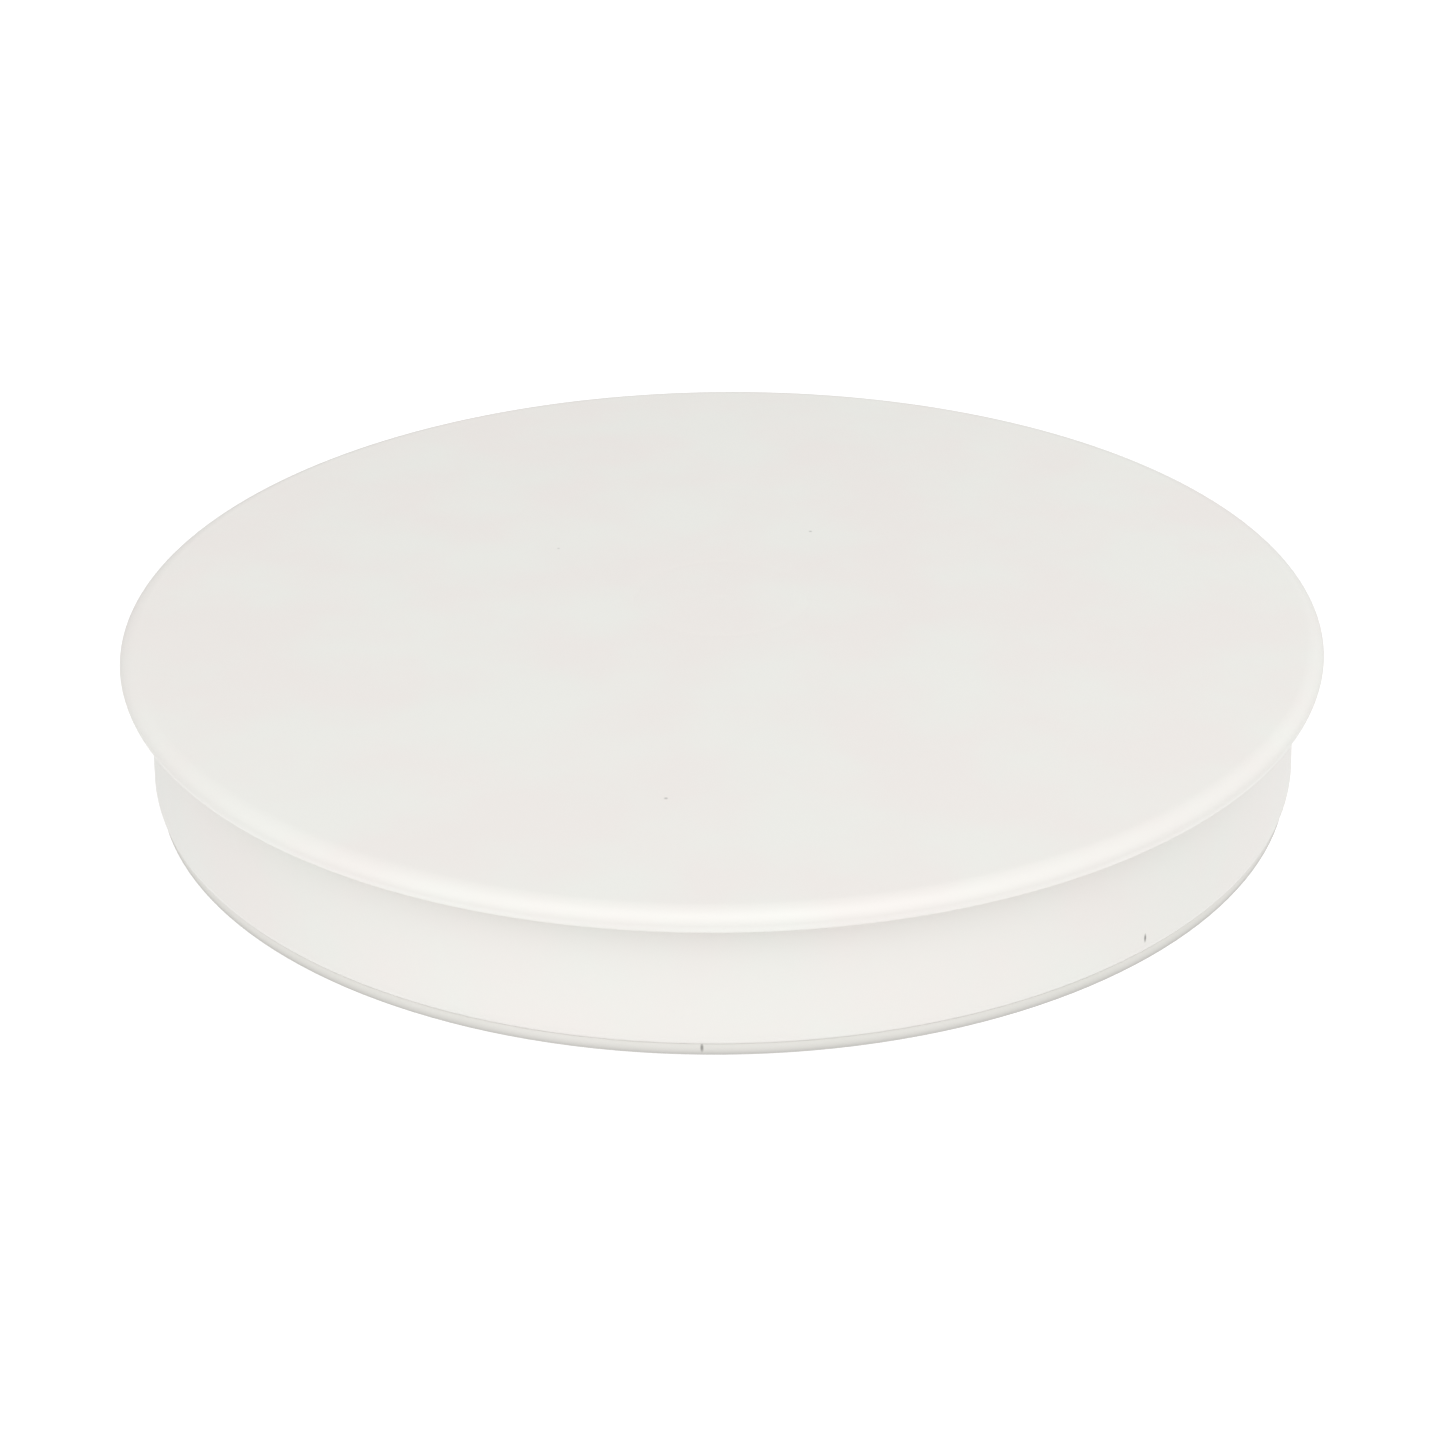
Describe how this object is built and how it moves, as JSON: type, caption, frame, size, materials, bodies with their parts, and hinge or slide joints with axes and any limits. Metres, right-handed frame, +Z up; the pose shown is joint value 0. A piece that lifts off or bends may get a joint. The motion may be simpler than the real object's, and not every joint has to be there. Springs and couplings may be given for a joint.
{
  "type": "lazy susan turntable",
  "caption": "Low round turntable: a flat disc with a thick rounded overhanging rim turns freely on caged balls over a drum-shaped base with rubber feet.",
  "frame": {"origin": "centre of the plane that the feet stand on", "axes": "+Z up along the axis that the disc turns about; the first ball lies towards +X"},
  "size_m": [0.3, 0.3, 0.04],
  "materials": {
    "white_disc": "satin",
    "white_drum": "satin",
    "base_plate": "fine matt",
    "bearing_plastic": "natural acetal",
    "foot_rubber": "matt",
    "ball_steel": "polished",
    "zinc_steel": "bright zinc plate"
  },
  "bodies": {
    "base": {"base_drum": "white_drum", "upper_bush": "bearing_plastic", "lower_bush": "bearing_plastic", "base_plate": "base_plate", "plate_screw_1": "zinc_steel", "plate_screw_2": "zinc_steel", "plate_screw_3": "zinc_steel", "plate_screw_4": "zinc_steel", "plate_screw_5": "zinc_steel", "plate_screw_6": "zinc_steel", "foot_1": "foot_rubber", "foot_2": "foot_rubber", "foot_3": "foot_rubber", "foot_4": "foot_rubber", "foot_5": "foot_rubber", "foot_6": "foot_rubber"},
    "disc": {"turntable_disc": "white_disc", "pivot_washer": "zinc_steel", "pivot_screw": "zinc_steel"},
    "cage": {"ball_cage": "bearing_plastic"},
    "ball_01": {"ball_01": "ball_steel"},
    "ball_02": {"ball_02": "ball_steel"},
    "ball_03": {"ball_03": "ball_steel"},
    "ball_04": {"ball_04": "ball_steel"},
    "ball_05": {"ball_05": "ball_steel"},
    "ball_06": {"ball_06": "ball_steel"},
    "ball_07": {"ball_07": "ball_steel"},
    "ball_08": {"ball_08": "ball_steel"},
    "ball_09": {"ball_09": "ball_steel"},
    "ball_10": {"ball_10": "ball_steel"},
    "ball_11": {"ball_11": "ball_steel"},
    "ball_12": {"ball_12": "ball_steel"}
  },
  "joints": [
    {"name": "turntable_spin", "type": "hinge", "parent": "base", "child": "disc", "pos_m": [0, 0, 0], "axis": [0, 0, 1], "continuous": true},
    {"name": "cage_spin", "type": "hinge", "parent": "base", "child": "cage", "pos_m": [0, 0, 0], "axis": [0, 0, 1], "continuous": true},
    {"name": "ball_01_roll", "type": "hinge", "parent": "cage", "child": "ball_01", "pos_m": [0.072, 0, 0.0309], "axis": [1, 0, 0], "continuous": true},
    {"name": "ball_02_roll", "type": "hinge", "parent": "cage", "child": "ball_02", "pos_m": [0.06235, 0.036, 0.0309], "axis": [0.866, 0.5, 0], "continuous": true},
    {"name": "ball_03_roll", "type": "hinge", "parent": "cage", "child": "ball_03", "pos_m": [0.036, 0.06235, 0.0309], "axis": [0.5, 0.866, 0], "continuous": true},
    {"name": "ball_04_roll", "type": "hinge", "parent": "cage", "child": "ball_04", "pos_m": [0, 0.072, 0.0309], "axis": [0, 1, 0], "continuous": true},
    {"name": "ball_05_roll", "type": "hinge", "parent": "cage", "child": "ball_05", "pos_m": [-0.036, 0.06235, 0.0309], "axis": [-0.5, 0.866, 0], "continuous": true},
    {"name": "ball_06_roll", "type": "hinge", "parent": "cage", "child": "ball_06", "pos_m": [-0.06235, 0.036, 0.0309], "axis": [-0.866, 0.5, 0], "continuous": true},
    {"name": "ball_07_roll", "type": "hinge", "parent": "cage", "child": "ball_07", "pos_m": [-0.072, 0, 0.0309], "axis": [-1, 0, 0], "continuous": true},
    {"name": "ball_08_roll", "type": "hinge", "parent": "cage", "child": "ball_08", "pos_m": [-0.06235, -0.036, 0.0309], "axis": [-0.866, -0.5, 0], "continuous": true},
    {"name": "ball_09_roll", "type": "hinge", "parent": "cage", "child": "ball_09", "pos_m": [-0.036, -0.06235, 0.0309], "axis": [-0.5, -0.866, 0], "continuous": true},
    {"name": "ball_10_roll", "type": "hinge", "parent": "cage", "child": "ball_10", "pos_m": [0, -0.072, 0.0309], "axis": [0, -1, 0], "continuous": true},
    {"name": "ball_11_roll", "type": "hinge", "parent": "cage", "child": "ball_11", "pos_m": [0.036, -0.06235, 0.0309], "axis": [0.5, -0.866, 0], "continuous": true},
    {"name": "ball_12_roll", "type": "hinge", "parent": "cage", "child": "ball_12", "pos_m": [0.06235, -0.036, 0.0309], "axis": [0.866, -0.5, 0], "continuous": true}
  ],
  "couplings": [
    {"joint": "cage_spin", "follows": "turntable_spin", "ratio": 0.5},
    {"joint": "ball_01_roll", "follows": "turntable_spin", "ratio": -9},
    {"joint": "ball_02_roll", "follows": "turntable_spin", "ratio": -9},
    {"joint": "ball_03_roll", "follows": "turntable_spin", "ratio": -9},
    {"joint": "ball_04_roll", "follows": "turntable_spin", "ratio": -9},
    {"joint": "ball_05_roll", "follows": "turntable_spin", "ratio": -9},
    {"joint": "ball_06_roll", "follows": "turntable_spin", "ratio": -9},
    {"joint": "ball_07_roll", "follows": "turntable_spin", "ratio": -9},
    {"joint": "ball_08_roll", "follows": "turntable_spin", "ratio": -9},
    {"joint": "ball_09_roll", "follows": "turntable_spin", "ratio": -9},
    {"joint": "ball_10_roll", "follows": "turntable_spin", "ratio": -9},
    {"joint": "ball_11_roll", "follows": "turntable_spin", "ratio": -9},
    {"joint": "ball_12_roll", "follows": "turntable_spin", "ratio": -9}
  ]
}
